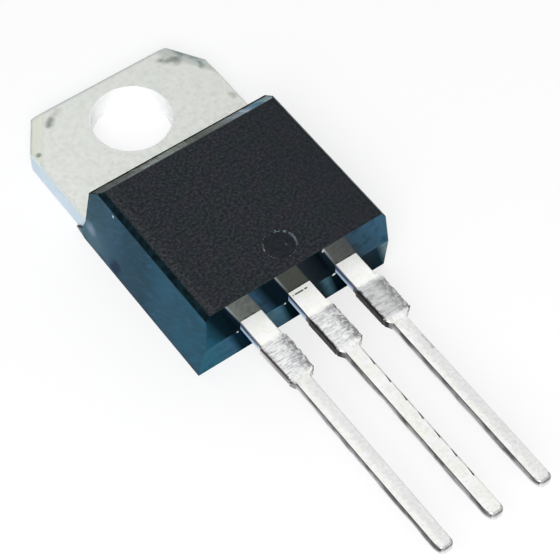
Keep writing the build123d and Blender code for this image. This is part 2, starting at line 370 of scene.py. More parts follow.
def epoxy_rim():
    """Shinier rim where the front face rounds over: a real highlight from its gloss and a painted highlight
    in its lighter specks.
    """
    g = Graph("epoxy_rim", specular=0.35)
    grain = g.noise(7.0, 3.0, 0.7)
    g.colour(g.mix(g.span(grain, 0.4, 0.66), tone(6, 18, 20), tone(44, 50, 54)))
    g.rough(g.span(grain, 0.3, 0.7, 0.28, 0.42))
    g.bump((grain, 0.02))
    return g.material


def epoxy_bevel():
    """Polished bevel at the tab end, painted as it mirrors the tab, with a painted shadow along its foot.
    """
    g = Graph("epoxy_bevel", specular=0.02)
    streaks = g.noise(1.0, 3.0, 0.6, place=g.stretch(4.0, 0.6, 0.6))
    base = g.ramp(
        g.x,
        (-4.8, tone(66, 80, 82)),
        (-3.7, tone(82, 92, 90)),
        (-2.2, tone(122, 134, 130)),
        (-1.0, tone(112, 126, 118)),
        (0.4, tone(94, 102, 94)),
        (1.4, tone(98, 106, 100)),
        (2.4, tone(118, 132, 134)),
        (3.1, tone(172, 194, 214)),
        (3.6, tone(10, 118, 164)),
        (4.1, tone(52, 132, 156)),
        (4.4, tone(140, 172, 178)),
        (4.8, tone(50, 96, 110)),
    )
    base = g.mix(g.times(g.span(streaks, 0.42, 0.66), 0.45), base, tone(40, 48, 46))
    # Painted shadow: dark patches along the foot of the bevel and a dark spot near x -2.9.
    foot = g.times(g.span(g.z, BEVEL_SHINE_Z + 0.42, BEVEL_SHINE_Z), g.span(g.noise(1.3, 3.0), 0.44, 0.6))
    foot_shadow_spot_x = g.span(g.absolute(g.plus(g.x, 2.9)), 0.32, 0.1)
    foot_shadow_spot = g.times(foot_shadow_spot_x, g.span(g.z, BEVEL_SHINE_Z + 0.6, BEVEL_SHINE_Z + 0.2))
    base = g.mix(g.most(foot, foot_shadow_spot), base, tone(22, 32, 28))
    g.colour(base)
    g.rough(g.span(streaks, 0.3, 0.7, 0.2, 0.34))
    g.bump((streaks, 0.01))
    return g.material


def epoxy_edge():
    """Black line of the sharpest edges: painted shade and painted dark reflection along them."""
    g = Graph("epoxy_edge", specular=0.0, roughness=0.8)
    patch = g.noise(5.0, 2.0)
    g.colour(g.mix(g.span(patch, 0.35, 0.65), tone(16, 21, 21), tone(32, 37, 36)))
    g.bump((patch, 0.002))
    return g.material


def painted_lead_reflections(g, base, x):
    """A painted reflection of each lead on the facet above it, darker at its foot and with a pale line on
    its -X side.
    """
    offset = g.lead_offset(x)
    over_lead = g.times(
        g.span(offset, -0.62, -0.54),
        g.span(offset, 0.62, 0.5),
        g.span(g.absolute(x), 3.7, 3.6),
    )
    # Painted reflection: a grey patch above each lead, leaning as its mirror image.
    patch = g.times(over_lead, g.span(g.z, LEAD_FRONT_Z - 0.05, LEAD_FRONT_Z))
    grey = g.ramp(
        x,
        (-3.0, tone(106, 112, 108)),
        (-1.4, tone(92, 98, 94)),
        (-1.0, tone(72, 76, 70)),
        (1.0, tone(70, 74, 70)),
        (2.0, tone(90, 92, 90)),
        (3.0, tone(76, 80, 82)),
    )
    mottled = g.times(g.span(g.noise(4.0, 4.0, 0.7), 0.4, 0.62), 0.4)
    base = g.mix(patch, base, g.mix(mottled, grey, tone(64, 64, 60)))
    # The painted reflection darkens at its foot, next to the lead.
    foot = g.span(g.z, LEAD_FRONT_Z + 0.2, LEAD_FRONT_Z + 0.05)
    reflection_dark_foot = g.times(patch, foot, g.span(g.noise(7.0, 3.0), 0.46, 0.6))
    base = g.mix(g.times(reflection_dark_foot, 0.8), base, tone(34, 30, 26))
    # Painted reflection of the lead's -X edge: a pale line on the patch's -X side.
    line = g.times(patch, g.span(offset, -0.46, -0.53), g.span(g.z, LEAD_FRONT_Z, FRONT_Z, 0.15, 0.7))
    return g.mix(line, base, tone(150, 158, 160))


def epoxy_end_upper():
    """Facet above the leads: smooth, coloured with a painted reflection: blue at its ends, dark beside the
    leads and a painted reflection of each lead above it.
    """
    g = Graph("epoxy_end_upper", specular=0.003)
    patch = g.noise(2.1, 3.0)
    x = g.sheared_x(0.42, LEAD_FRONT_Z)
    # Painted reflection: blue at the ends of the facet, dark beside the leads.
    base = g.ramp(
        x,
        (-4.9, tone(34, 80, 100)),
        (-4.5, tone(30, 72, 88)),
        (-4.0, tone(6, 26, 36)),
        (-3.4, tone(2, 12, 20)),
        (-1.8, tone(44, 70, 90)),
        (-1.3, tone(4, 20, 26)),
        (-0.8, tone(8, 22, 32)),
        (0.7, tone(30, 38, 44)),
        (1.6, tone(2, 10, 18)),
        (1.95, tone(22, 34, 42)),
        (3.1, tone(54, 68, 78)),
        (3.5, tone(48, 74, 92)),
        (4.9, tone(58, 92, 114)),
    )
    base = g.mix(g.times(g.span(patch, 0.45, 0.7), 0.4), base, tone(12, 30, 36))
    base = painted_lead_reflections(g, base, x)
    chip = g.near(1.36, -12.9, 0.11, 0.6, z=4.3)
    base = g.mix(chip, base, tone(190, 198, 206))
    g.colour(base)
    g.rough(g.span(patch, 0.3, 0.7, 0.10, 0.2))
    g.bump((g.noise(0.9, 2.0), 0.012), (g.noise(16.0, 2.0), 0.001))
    return g.material


def epoxy_end_lower():
    """Facet below the leads, coloured with a painted reflection: blue, dark beside each lead, and with
    beads of flash.
    """
    g = Graph("epoxy_end_lower", specular=0.0, roughness=0.3)
    patch = g.noise(2.1, 3.0)
    x = g.sheared_x(0.33, LEAD_BACK_Z)
    # Painted reflection: blue between the leads, dark beside each lead.
    base = g.ramp(
        x,
        (-4.9, tone(50, 98, 116)),
        (-3.85, tone(56, 92, 116)),
        (-3.5, tone(14, 36, 44)),
        (-3.1, tone(8, 26, 46)),
        (-1.7, tone(80, 112, 122)),
        (-1.15, tone(70, 108, 128)),
        (-0.8, tone(8, 26, 28)),
        (-0.5, tone(4, 14, 24)),
        (1.05, tone(36, 50, 54)),
        (1.4, tone(72, 106, 122)),
        (1.75, tone(4, 20, 26)),
        (2.2, tone(8, 18, 26)),
        (3.6, tone(36, 46, 52)),
        (4.2, tone(26, 46, 58)),
        (4.6, tone(104, 128, 136)),
    )
    base = g.mix(g.times(g.span(patch, 0.45, 0.7), 0.25), base, tone(10, 40, 56))
    flash = g.most(
        g.near(-3.27, LEAD_END_Y, 0.07, 0.5, z=2.34),
        g.near(-0.75, LEAD_END_Y, 0.08, 0.5, z=2.3),
        g.near(1.9, LEAD_END_Y, 0.13, 0.5, z=2.28),
    )
    base = g.mix(flash, base, tone(226, 232, 230))
    g.colour(base)
    g.rough(g.span(patch, 0.3, 0.7, 0.2, 0.35))
    g.bump((g.noise(0.9, 2.0), 0.012), (g.noise(16.0, 2.0), 0.001))
    return g.material


def epoxy_back():
    """Plain back rim of the moulding, round the spreader."""
    g = Graph("epoxy_back", specular=0.4)
    patch = g.noise(3.0, 4.0)
    g.colour(g.mix(g.span(patch, 0.3, 0.7), tone(20, 34, 44), tone(34, 50, 60)))
    g.rough(g.span(g.noise(9.0, 3.0), 0.3, 0.7, 0.35, 0.55))
    g.bump((g.noise(12.0, 3.0), 0.006))
    return g.material


def corner_distance(g):
    """Distance inwards from the tab's two cut corners."""
    from_side = g.minus(tab_high.x, g.absolute(g.x))
    from_end = g.minus(tab_high.y, g.y)
    reach = math.hypot(CORNER_CUT_X, CORNER_CUT_Y)
    along = g.scale_add(from_side, CORNER_CUT_Y / reach, g.times(from_end, CORNER_CUT_X / reach))
    return g.minus(along, CORNER_CUT_X * CORNER_CUT_Y / reach)


def tab_stains_and_reflections(g, base):
    """Dark smears and fainter marks on the front of the tab, and painted blue reflections on its +X coined
    corner.
    """
    smears = g.most(
        g.streak((-3.34, 1.86), (-3.08, 2.12), 0.3),
        g.near(-4.66, 0.7, 0.19, 0.7),
        g.streak((3.05, 2.16), (3.75, 1.7), 0.38),
    )
    base = g.mix(g.times(smears, 0.75), base, tone(124, 130, 126))
    faint = g.most(g.streak((-3.0, 2.2), (-2.6, 2.4), 0.34), g.streak((4.62, -1.45), (4.68, -1.65), 0.24))
    base = g.mix(g.times(faint, 0.5), base, tone(170, 168, 158))
    # Painted reflection: blue streaks along the +X coined corner.
    blue_reflection = g.most(g.streak((4.0, 2.2), (4.6, 1.3), 0.22), g.streak((4.6, 1.1), (4.52, 0.8), 0.26))
    return g.mix(g.times(blue_reflection, 0.7), base, tone(108, 134, 140))


def tinned_plate():
    """Dull tin on the heat spreader, coined corners and sheared edges."""
    g = Graph("tinned_plate", metallic=1.0)
    cloud = g.noise(0.7, 4.0, 0.6)
    mottle = g.noise(4.5, 4.0, 0.65)
    base = g.ramp(g.x, (-4.9, tone(235, 238, 232)), (0.0, tone(228, 232, 226)), (4.9, tone(224, 226, 220)))
    base = g.mix(g.times(g.span(cloud, 0.3, 0.7), 0.4), base, tone(234, 234, 228))
    base = g.mix(g.times(g.span(mottle, 0.5, 0.75), 0.3), base, tone(214, 218, 214))

    from_cut = corner_distance(g)
    coined = g.span(from_cut, CORNER_COIN + 0.12, CORNER_COIN - 0.15)
    base = g.mix(g.times(coined, 0.9), base, tone(250, 254, 240))
    # Painted shade: the coined strip of the +X corner is darker than that of the -X corner.
    right = g.span(g.x, 2.5, 3.0)
    base = g.mix(g.times(coined, right, 0.8), base, tone(210, 216, 213))
    # Painted shade along the rounded cut edges, deep on the +X corner and light on the -X corner.
    cut_edge = g.span(from_cut, 0.16, 0.03)
    base = g.mix(g.times(cut_edge, right, 0.8), base, tone(166, 176, 176))
    left = g.span(g.x, -2.5, -3.0)
    base = g.mix(g.times(cut_edge, left, 0.5), base, tone(206, 210, 204))

    upward = g.facing[2]
    # Painted shade: grey on the rounded-over end edge.
    rolled = g.times(g.span(g.y, tab_high.y - 0.32, tab_high.y - 0.06), g.span(upward, 0.5, 0.75))
    base = g.mix(g.times(rolled, 0.85), base, tone(190, 195, 192))
    # Painted reflection: pale blue on the sheared sides.
    sheared = g.span(upward, 0.6, 0.4)
    base = g.mix(sheared, base, tone(200, 218, 230))
    base = tab_stains_and_reflections(g, base)
    # Painted light: the hole wall is matte and near white, as if brightly lit.
    hole = g.times(g.span(upward, 0.99, 0.97), g.near(0.0, 0.0, 2.2, 0.1))
    g.colour(g.mix(hole, base, tone(251, 252, 252)))

    unplated = g.times(g.span(upward, 0.97, 0.9), 0.7)
    g.metal(g.minus(1.0, g.most(g.times(hole, 0.9), unplated, g.times(rolled, 0.9))))
    g.rough(g.span(mottle, 0.3, 0.7, 0.36, 0.5))
    shear_lines = g.noise(1.0, 3.0, place=g.stretch(16.0, 16.0, 1.2))
    g.bump((g.times(shear_lines, sheared), 0.02), (mottle, 0.004), (g.noise(18.0, 2.0), 0.0025))
    return g.material


# ---------------------------------------------------------------- lead material
def sheared_stub(g, base, across, height, stub, streaks):
    """Front of the stubs: streaked, dirty towards +X, with a dark lip on the -X side.

    Gives back the colour and the share of the lip.
    """
    streaked = g.mix(g.span(streaks, 0.36, 0.58), tone(186, 186, 188), tone(251, 251, 251))
    speckle = g.noise(6.0, 3.0, 0.7)
    streaked = g.mix(g.times(g.span(speckle, 0.56, 0.66), 0.35), streaked, tone(170, 170, 172))
    torn = g.times(g.span(across, 0.05, 0.6), g.span(speckle, 0.4, 0.56, 0.3, 1.0))
    streaked = g.mix(g.times(torn, 0.9), streaked, tone(118, 118, 120))
    streaked = g.mix(g.span(g.x, 1.6, 1.9, 0.0, 0.4), streaked, tone(150, 150, 150))
    shoulder = g.span(height, SHOULDER_END_Y - 0.5, SHOULDER_END_Y + 0.2)
    below_root = g.span(height, STUB_START_Y + 0.1, STUB_START_Y)
    specks = g.times(shoulder, below_root, g.span(speckle, 0.42, 0.62), 0.5)
    base = g.mix(specks, base, tone(206, 206, 207))
    base = g.mix(stub, base, streaked)
    ragged = g.scale_add(g.noise(2.4, 3.0, 0.7), 0.22, across)
    lip = g.times(stub, g.span(ragged, -0.36, -0.45), g.span(g.x, -1.9, -1.6, 0.35, 1.0))
    return g.mix(g.times(lip, 0.9), base, tone(44, 44, 46)), lip


def root_dashes(g, base):
    """Dashed dark line across the middle lead, just outside the moulding."""
    dashes = g.times(
        g.span(g.absolute(g.minus(g.y, LEAD_END_Y - 0.17)), 0.02, 0.05, 1.0, 0.0),
        g.span(g.absolute(g.plus(g.x, 0.1)), 0.4, 0.36),
        g.span(g.noise(1.0, 1.0, place=g.stretch(4.0, 0.0, 0.0)), 0.4, 0.46),
    )
    return g.mix(dashes, base, tone(30, 30, 28))


def narrow_shading(g, base, across, height, fine):
    """Painted shade on the narrow parts past the stubs, over their +X half and along their +X edge, with
    grey spots on their -X half: strongest on the gate lead, faint on the middle one.
    """
    past_stub = g.span(height, SHOULDER_END_Y + 0.1, SHOULDER_END_Y - 0.3)
    strength = g.ramp(g.x, (-2.0, level(0.9)), (-1.0, level(0.25)), (1.0, level(0.25)), (2.0, level(1.0)))
    shade_and_spots = g.times(past_stub, strength)
    long_patches = g.noise(0.9, 3.0, place=g.stretch(1.6, 0.3, 1.0))
    # Painted shade over the +X half of the narrow parts and along their +X edge.
    shade = g.times(shade_and_spots, g.span(across, -0.26, 0.02), g.span(long_patches, 0.3, 0.6, 0.5, 1.0))
    base = g.mix(g.times(shade, 0.8), base, tone(232, 232, 232))
    spots = g.times(shade_and_spots, g.span(fine, 0.4, 0.64), g.span(across, -0.3, -0.1))
    base = g.mix(g.times(spots, 0.45), base, tone(212, 212, 212))
    return g.mix(g.times(shade_and_spots, g.span(across, 0.2, 0.36), 0.6), base, tone(202, 202, 202))


def burr_shadows_and_nick(g, base, across):
    """Grey edge line and slanting dark lines on the middle lead, painted as the shadow of its burr, and a
    nick in the gate lead.
    """
    middle_lead = g.span(g.absolute(g.x), 0.6, 0.5)
    before_tip = g.span(g.y, -25.0, -24.6)
    burr_shadow_line = g.times(
        g.span(across, 0.25, 0.3),
        g.span(g.noise(2.0, 2.0), 0.3, 0.56),
        middle_lead,
        g.span(g.y, -16.9, -17.3),
        before_tip,
    )
    base = g.mix(g.times(burr_shadow_line, 0.8), base, tone(130, 130, 132))
    turn = g.math("FRACT", g.scale_add(g.y, -1 / BURR_PITCH, BURR_PHASE))
    off_line = g.absolute(g.minus(g.scale_add(turn, 0.12, across), 0.325))
    # Painted shadow of the burr: slanting dark lines along the +X edge of the middle lead.
    burr = g.times(
        g.span(off_line, 0.055, 0.03),
        g.span(turn, 0.42, 0.36),
        middle_lead,
        g.span(g.y, -17.1, -17.3),
        before_tip,
    )
    base = g.mix(burr, base, tone(30, 30, 32))
    nick = g.streak((2.8, -18.1), (2.8, -18.8), 0.13)
    return g.mix(g.times(nick, 0.7), base, tone(110, 110, 112))


def lead_sides(g, height, fine, tip_face):
    """Colour of a lead's sides: dark where the dam bar was cut off, pale past it with a painted dark
    reflection as a line under the top edge, and a painted blue reflection beside the root.
    """
    down = g.span(g.z, LEAD_FRONT_Z, LEAD_BACK_Z)
    dark_cut = g.mix(down, tone(18, 16, 16), tone(52, 52, 54))
    # Lead 1's cut side: darker towards the end of the stub.
    darker_towards_stub_end = g.mix(g.span(height, STUB_START_Y, STUB_END_Y + 0.4), tone(224, 224, 226), tone(150, 150, 152))
    under_top = g.span(g.z, LEAD_FRONT_Z - 0.12, LEAD_FRONT_Z - 0.26)
    pale_cut = g.mix(under_top, tone(56, 36, 34), darker_towards_stub_end)
    first_lead = g.span(g.x, -1.6, -1.9)
    cut_face = g.mix(first_lead, dark_cut, pale_cut)

    wander = g.noise(0.8, 2.0, place=g.stretch(1.0, 0.8, 0.2))
    uneven = g.scale_add(wander, 0.4, g.scale_add(fine, 0.06, g.z))
    uneven = g.scale_add(tip_face, -0.14, uneven)
    # Painted dark reflection: a ragged dark line under the top edge of the sides past the shoulder.
    under_edge = g.span(uneven, LEAD_FRONT_Z + 0.05, LEAD_FRONT_Z - 0.24)
    line_tone = g.mix(g.span(g.noise(1.3, 3.0), 0.36, 0.62), tone(66, 66, 68), tone(150, 150, 152))
    line_tone = g.mix(g.times(tip_face, 0.6), line_tone, tone(170, 170, 172))
    past_shoulder = g.span(g.y, SHOULDER_END_Y + 0.05, SHOULDER_END_Y - 0.08)
    pale = g.mix(tip_face, tone(252, 252, 252), tone(234, 235, 236))
    plain_side = g.mix(g.times(under_edge, past_shoulder), line_tone, pale)
    # Painted reflection: dark blue to pale blue down the sides beside the root.
    blue_reflection = g.mix(g.span(g.z, LEAD_FRONT_Z - 0.1, LEAD_BACK_Z + 0.1), tone(18, 34, 84), tone(196, 222, 246))
    plain_side = g.mix(g.span(g.y, STUB_START_Y + 0.1, STUB_START_Y + 0.2), plain_side, blue_reflection)

    below_root = g.span(g.y, STUB_START_Y + 0.24, STUB_START_Y + 0.16)
    above_end = g.span(g.y, STUB_END_Y - 0.24, STUB_END_Y - 0.16)
    on_stub = g.times(below_root, above_end)
    near_side = g.mix(on_stub, plain_side, cut_face)
    far_side = g.mix(on_stub, tone(224, 225, 222), tone(150, 150, 152))
    return g.mix(g.span(g.facing[0], 0.3, 0.6), near_side, far_side)


def tinned_lead():
    """Bright tin on the leads, grey and streaked where the dam bar was sheared off."""
    g = Graph("tinned_lead", metallic=1.0)
    across = g.lead_offset()
    cloud = g.noise(1.4, 4.0)
    mottle = g.noise(7.0, 3.0)
    base = g.mix(g.span(cloud, 0.35, 0.65), tone(249, 250, 242), tone(254, 254, 253))
    base = g.mix(g.times(g.span(mottle, 0.5, 0.66), 0.5), base, tone(240, 241, 236))

    height = g.plus(g.y, g.times(g.minus(g.noise(1.3, 2.0), 0.5), 0.4))
    stub = g.times(
        g.span(height, STUB_START_Y + 0.06, STUB_START_Y - 0.2),
        g.span(height, STUB_END_Y - 0.12, STUB_END_Y + 0.1),
    )
    streaks = g.noise(1.0, 5.0, 0.75, place=g.stretch(2.6, 14.0, 2.6))
    fine = g.noise(6.5, 3.0, 0.7)
    base, lip = sheared_stub(g, base, across, height, stub, streaks)
    base = root_dashes(g, base)
    base = narrow_shading(g, base, across, height, fine)
    base = burr_shadows_and_nick(g, base, across)

    tip_face = g.span(g.facing[1], -0.5, -0.8)
    side = g.most(g.span(g.absolute(g.facing[0]), 0.5, 0.8), tip_face)
    g.colour(g.mix(side, base, lead_sides(g, height, fine, tip_face)))
    root = g.span(g.y, STUB_START_Y - 0.1, STUB_START_Y + 0.1)
    dull_top = g.times(stub, g.minus(1.0, g.most(side, lip)), 0.5)
    g.metal(g.minus(1.0, g.most(g.times(root, 0.95), dull_top)))
    g.rough(g.plus(g.span(mottle, 0.3, 0.7, 0.30, 0.42), g.times(stub, 0.1)))
    g.bump((g.times(streaks, stub), 0.012), (mottle, 0.002))
    return g.material


# ---------------------------------------------------------------- buried materials
def plain_metal(name, light, dark, roughness, depth):
    """Buried metal, mottled between its light and its dark tone."""
    g = Graph(name, metallic=1.0)
    patch = g.noise(3.0, 4.0)
    g.colour(g.mix(g.span(patch, 0.3, 0.7), dark, light))
    g.rough(g.span(g.noise(9.0, 2.0), 0.3, 0.7, roughness - 0.06, roughness + 0.08))
    g.bump((g.noise(11.0, 3.0), depth))
    return g.material


def alumina():
    """White ceramic of the insulator tile."""
    g = Graph("alumina_ceramic", specular=0.4)
    g.colour(g.mix(g.span(g.noise(6.0, 4.0), 0.3, 0.7), tone(226, 224, 216), tone(240, 239, 234)))
    g.rough(g.span(g.noise(14.0, 2.0), 0.3, 0.7, 0.45, 0.6))
    g.bump((g.noise(20.0, 2.0), 0.002))
    return g.material


def silicon():
    """Dark polished silicon of the die."""
    g = Graph("silicon_die", metallic=0.6)
    g.colour(g.mix(g.span(g.noise(2.0, 3.0), 0.3, 0.7), tone(74, 78, 92), tone(96, 99, 112)))
    g.rough(g.span(g.noise(12.0, 2.0), 0.3, 0.7, 0.12, 0.2))
    g.bump((g.noise(16.0, 2.0), 0.0008))
    return g.material


# ---------------------------------------------------------------- mesh helpers
WIDEST_ROUNDING = 0.25  # what a bevel weight of 1 stands for


def clean_mesh(node):
    """The node's mesh in millimetres with its corners joined and its flat faces whole."""
    shape = bmesh.new()
    shape.from_mesh(nodes[node].data)
    shape.transform(Matrix.Scale(1 / MM, 4))
    bmesh.ops.remove_doubles(shape, verts=shape.verts, dist=1e-4)
    bmesh.ops.dissolve_limit(shape, angle_limit=math.radians(0.4), verts=shape.verts, edges=shape.edges)
    bmesh.ops.recalc_face_normals(shape, faces=shape.faces)
    return shape


def outer_faces(shape):
    """Faces that see open space straight ahead, without the cavity that is open at the back."""
    tree = BVHTree.FromBMesh(shape)
    found = set()
    for face in shape.faces:
        centre = face.calc_center_median_weighted()
        if tree.ray_cast(centre + face.normal * 1e-3, face.normal)[0] is None:
            if face.normal.z > -0.5 or centre.z < 1e-3:
                found.add(face)
    return found


def cut_rows(shape, places, normal, keep):
    """Cut the faces that pass keep along planes, so that they can be shaped."""
    for place in places:
        faces = [face for face in shape.faces if keep(face)]
        edges = {edge for face in faces for edge in face.edges}
        verts = {vert for face in faces for vert in face.verts}
        bmesh.ops.bisect_plane(
            shape,
            geom=list(verts) + list(edges) + faces,
            dist=1e-5,
            plane_co=place,
            plane_no=normal,
        )


def make_piece(name, shape, materials, node, sharp=35.0):
    """Piece from a shape in millimetres, on the body, in place of the node, softly shaded."""
    mesh = bpy.data.meshes.new(name)
    shape.transform(Matrix.Scale(MM, 4))
    shape.to_mesh(mesh)
    shape.free()
    for material in materials:
        mesh.materials.append(material)
    mesh.shade_smooth()
    mesh.set_sharp_from_angle(angle=math.radians(sharp))
    piece = bpy.data.objects.new(name, mesh)
    bpy.context.scene.collection.objects.link(piece)
    weighted = piece.modifiers.new("weighted_normals", "WEIGHTED_NORMAL")
    weighted.keep_sharp = True
    weighted.weight = 80
    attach(piece, "root")
    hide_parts(node)


def rounded(shape, faces, rounding):
    """The shape with each convex edge between two of the faces rounded by its own amount."""
    weight = shape.edges.layers.float.new("bevel_weight_edge")
    for edge in shape.edges:
        inside = len(edge.link_faces) == 2 and all(face in faces for face in edge.link_faces)
        if inside and edge.is_convex and edge.calc_face_angle(0.0) > math.radians(4):
            edge[weight] = rounding(edge) / WIDEST_ROUNDING
    mesh = bpy.data.meshes.new("rounding")
    shape.to_mesh(mesh)
    shape.free()
    holder = bpy.data.objects.new("rounding", mesh)
    bpy.context.scene.collection.objects.link(holder)
    bevel = holder.modifiers.new("bevel", "BEVEL")
    bevel.limit_method = "WEIGHT"
    bevel.width = WIDEST_ROUNDING
    bevel.segments = 4
    done = holder.evaluated_get(bpy.context.evaluated_depsgraph_get())
    result = bmesh.new()
    result.from_mesh(done.to_mesh())
    bpy.data.objects.remove(holder)
    return result


# ---------------------------------------------------------------- moulding
FRONT, SIDE, BAND, BACK, BEVEL, END_UPPER, END_LOWER, RIM, EDGE = range(9)


def moulding_zone(face):
    """Which of the moulding's materials a face takes."""
    n, centre = face.normal, face.calc_center_median()
    if n.z > 0.985:
        return FRONT
    if n.z < -0.9:
        return BACK
    if n.z > 0.76:
        return BAND if n.x > 0.1 else RIM
    if n.y > 0.1 and centre.z > TAB_Z:
        return BEVEL if n.z > 0.4 and centre.z > BEVEL_SHINE_Z else EDGE
    if n.y < -0.5:
        return END_UPPER if n.z > 0 else END_LOWER
    if n.z > 0.3:
        return BAND
    return SIDE


def edge_rounding(edge):
    """How far a moulding edge is rounded off, in millimetres."""
    first, second = (face.normal for face in edge.link_faces)
    upper, lower = (first, second) if first.z >= second.z else (second, first)
    if upper.z > 0.99:
        if lower.y > 0.3:
            return 0.18
        if lower.y < -0.3:
            return 0.05
        return WIDEST_ROUNDING
    if upper.y > 0.3 and upper.z > 0.3:
        return 0.12
    if abs(upper.x) > 0.3 and upper.z > 0.3:
        return 0.1
    if max(upper.y, lower.y) > 0.5 and min(upper.x, lower.x, -upper.x, -lower.x) < -0.5:
        return 0.2
    return 0.05


def on_end_bevel(face):
    """Whether a face is part of the bevel at the tab end."""
    return face.normal.y > 0.4 and face.normal.z > 0.4


def build_moulding():
    """Moulding with rounded edges, and its bevel cut where the shine starts."""
    shape = clean_mesh("moulding")
    shape = rounded(shape, outer_faces(shape), edge_rounding)
    cut_rows(shape, [(0, 0, BEVEL_SHINE_Z)], (0, 0, 1), on_end_bevel)
    for face in shape.faces:
        face.material_index = moulding_zone(face)
    materials = [
        epoxy_front(),
        epoxy_side(),
        epoxy_band(),
        epoxy_back(),
        epoxy_bevel(),
        epoxy_end_upper(),
        epoxy_end_lower(),
        epoxy_rim(),
        epoxy_edge(),
    ]
    make_piece("moulding_body", shape, materials, "moulding")


# ---------------------------------------------------------------- heat spreader
def coin_rounding(edge):
    """How far a spreader edge is rounded off: widely where a coined corner starts."""
    return 0.12 if edge.calc_face_angle(0.0) < math.radians(20) else 0.07


def build_spreader():
    """Heat spreader with rounded edges on the tab; the part inside the moulding stays sharp."""
    shape = clean_mesh("heat_spreader")
    tab_start = body_high.y - 0.9
    tab = {face for face in shape.faces if face.calc_center_median_weighted().y > tab_start}
    shape = rounded(shape, tab, coin_rounding)
    make_piece("spreader_plate", shape, [tinned_plate()], "heat_spreader")


# ---------------------------------------------------------------- leads
def half_width(y):
    """Half width of the CAD lead at y."""
    steps = [
        (TIP_Y, HALF_TIP),
        (TIP_Y + 0.4, HALF_LEAD),
        (SHOULDER_END_Y, HALF_LEAD),
        (STUB_END_Y, HALF_ROOT),
        (STUB_END_Y + 0.06, HALF_STUB),
        (STUB_START_Y - 0.06, HALF_STUB),
        (STUB_START_Y, HALF_ROOT),
        (LEAD_END_Y + 1, HALF_ROOT),
    ]
    for (y0, w0), (y1, w1) in zip(steps, steps[1:]):
        if y <= y1:
            return w0 + (w1 - w0) * max(0.0, (y - y0) / (y1 - y0))
    return HALF_ROOT


def spread(start, end, step):
    """Even places from start to end, about a step apart."""
    count = max(1, round(abs(end - start) / step))
    return [start + (end - start) * i / count for i in range(count + 1)]


def outside_moulding(face):
    """Whether some of a lead face is outside the moulding."""
    return min(vert.co.y for vert in face.verts) < LEAD_END_Y - 0.01


def wholly_outside(face):
    """Whether all of a lead face is outside the moulding."""
    return max(vert.co.y for vert in face.verts) < LEAD_END_Y - 0.03


def cut_lead(shape, centre):
    """Cut a lead into fine rows and strips outside the moulding, so that it can be shaped."""
    rows = (
        spread(LEAD_END_Y - 0.05, STUB_START_Y + 0.1, 0.25)
        + spread(STUB_START_Y + 0.03, STUB_END_Y - 0.02, 0.045)
        + spread(STUB_END_Y - 0.06, SHOULDER_END_Y - 0.05, 0.05)
        + spread(SHOULDER_END_Y - 0.2, TIP_Y + 0.7, 0.3)
        + spread(TIP_Y + TIP_LENGTH, TIP_Y + 0.02, 0.04)
    )
    strips = [centre + x for x in (-0.27, -0.14, 0.0, 0.14, 0.27)]
    cut_rows(shape, [(0, y, 0) for y in rows], (0, 1, 0), outside_moulding)
    cut_rows(shape, [(x, 0, 0) for x in strips], (1, 0, 0), wholly_outside)


def ridge_depth(x, y, seed):
    """How deep the shear ridges are on the front of a stub, in millimetres."""
    coarse = noise.noise(Vector((x * 1.3 + seed, y * 9.0, seed)))
    fine = noise.noise(Vector((x * 3.0, y * 21.0, seed + 3)))
    return 0.006 * (1 + coarse + 0.5 * fine)


def torn_shift(across, y, z, seed, flare, waist):
    """Sideways shift of a stub's sides: torn outwards on one, drawn in on the other."""
    ragged = noise.noise(Vector((seed * 2.0, y * 6.0, z * 1.5)))
    fine = noise.noise(Vector((seed, y * 19.0, z * 2.0)))
    if across > 0.8:
        return flare + 0.05 * ragged + 0.03 * fine
    if across < -0.8:
        return waist * (STUB_START_Y - y) / (STUB_START_Y - STUB_END_Y) + 0.008 * fine
    return 0.0


def shoulder_reach(tapered, across, waist):
    """Half width of the shoulder, tapered from 0 at the stub to 1 at the narrow part."""
    if across > 0:
        fall, stub = (0.9 - tapered) / 0.5, HALF_STUB + 0.02
    else:
        fall, stub = (0.95 - tapered) / 0.9, HALF_STUB - waist
    return HALF_LEAD + (stub - HALF_LEAD) * min(1.0, max(0.0, fall))


def tip_reach(tip, across):
    """Half width of the tip, more rounded on its -X side, with tip 0 at its end."""
    if across < 0:
        return HALF_LEAD - TIP_ROUND_LEFT * (1 - math.sqrt(1 - (1 - tip) ** 2))
    near_end = max(0.0, 1 - tip / 0.5)
    return HALF_LEAD - TIP_ROUND_RIGHT * (1 - math.sqrt(1 - near_end**2))


def build_lead(node, name, material, seed, bend, flare, waist):
    """Lead with a stub torn outwards by flare and narrowed on its other side by waist.

    The tip is rounded and the narrow part pushed aside by bend.
    """
    shape = clean_mesh(node)
    centre = LEAD_CENTRES[node]
    cut_lead(shape, centre)
    for vert in shape.verts:
        x, y, z = vert.co
        if y > LEAD_END_Y - 0.06:
            continue
        reach = half_width(y)
        across = (x - centre) / reach
        top = z > LEAD_FRONT_Z - 0.06
        if STUB_END_Y - 0.05 < y < STUB_START_Y + 0.05:
            vert.co.x += torn_shift(across, y, z, seed, flare, waist)
            if top:
                vert.co.z -= ridge_depth(x, y, seed)
        tapered = (STUB_END_Y - y) / (STUB_END_Y - SHOULDER_END_Y)
        if 0 < tapered < 1 and abs(across) > 0.8:
            vert.co.x += math.copysign(shoulder_reach(tapered, across, waist) - reach, across)
        tip = max(0.0, (y - TIP_Y) / TIP_LENGTH)
        if tip < 1:
            vert.co.x = centre + across * tip_reach(tip, across)
            pinch = 0.05 * max(0.0, 1 - tip / 0.25)
            vert.co.z += -pinch if top else pinch * 0.4
        if y < STUB_END_Y:
            vert.co.x += bend * min(1.0, (STUB_END_Y - y) / 0.4)
    make_piece(name, shape, [material], node, sharp=28.0)


